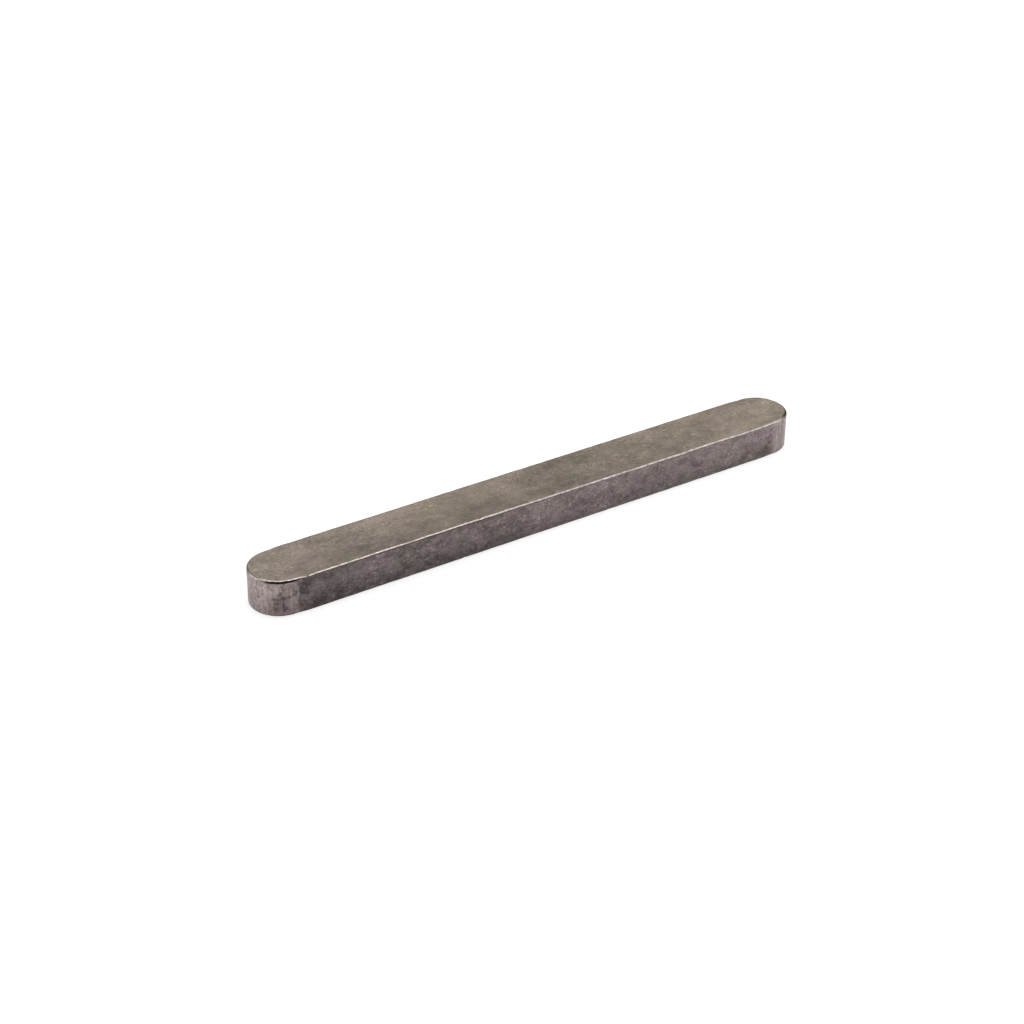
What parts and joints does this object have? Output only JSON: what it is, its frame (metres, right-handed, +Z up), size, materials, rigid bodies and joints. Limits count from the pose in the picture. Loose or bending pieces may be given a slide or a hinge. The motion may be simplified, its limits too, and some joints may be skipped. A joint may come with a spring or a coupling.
{
  "type": "parallel key",
  "caption": "Long rectangular steel key with two round ends and broken edges, laid in a keyway to carry torque between a shaft and a hub.",
  "frame": {"origin": "centre of the bottom face", "axes": "+X along the key, +Y across it from flank to flank, +Z up out of the top face"},
  "size_m": [0.18, 0.018, 0.011],
  "materials": {
    "drawn_steel": "dull cold-drawn skin with grey-brown mottling, brighter milled ends and rubbed edges"
  },
  "bodies": {
    "root": {"parallel_key": "drawn_steel"}
  },
  "joints": []
}
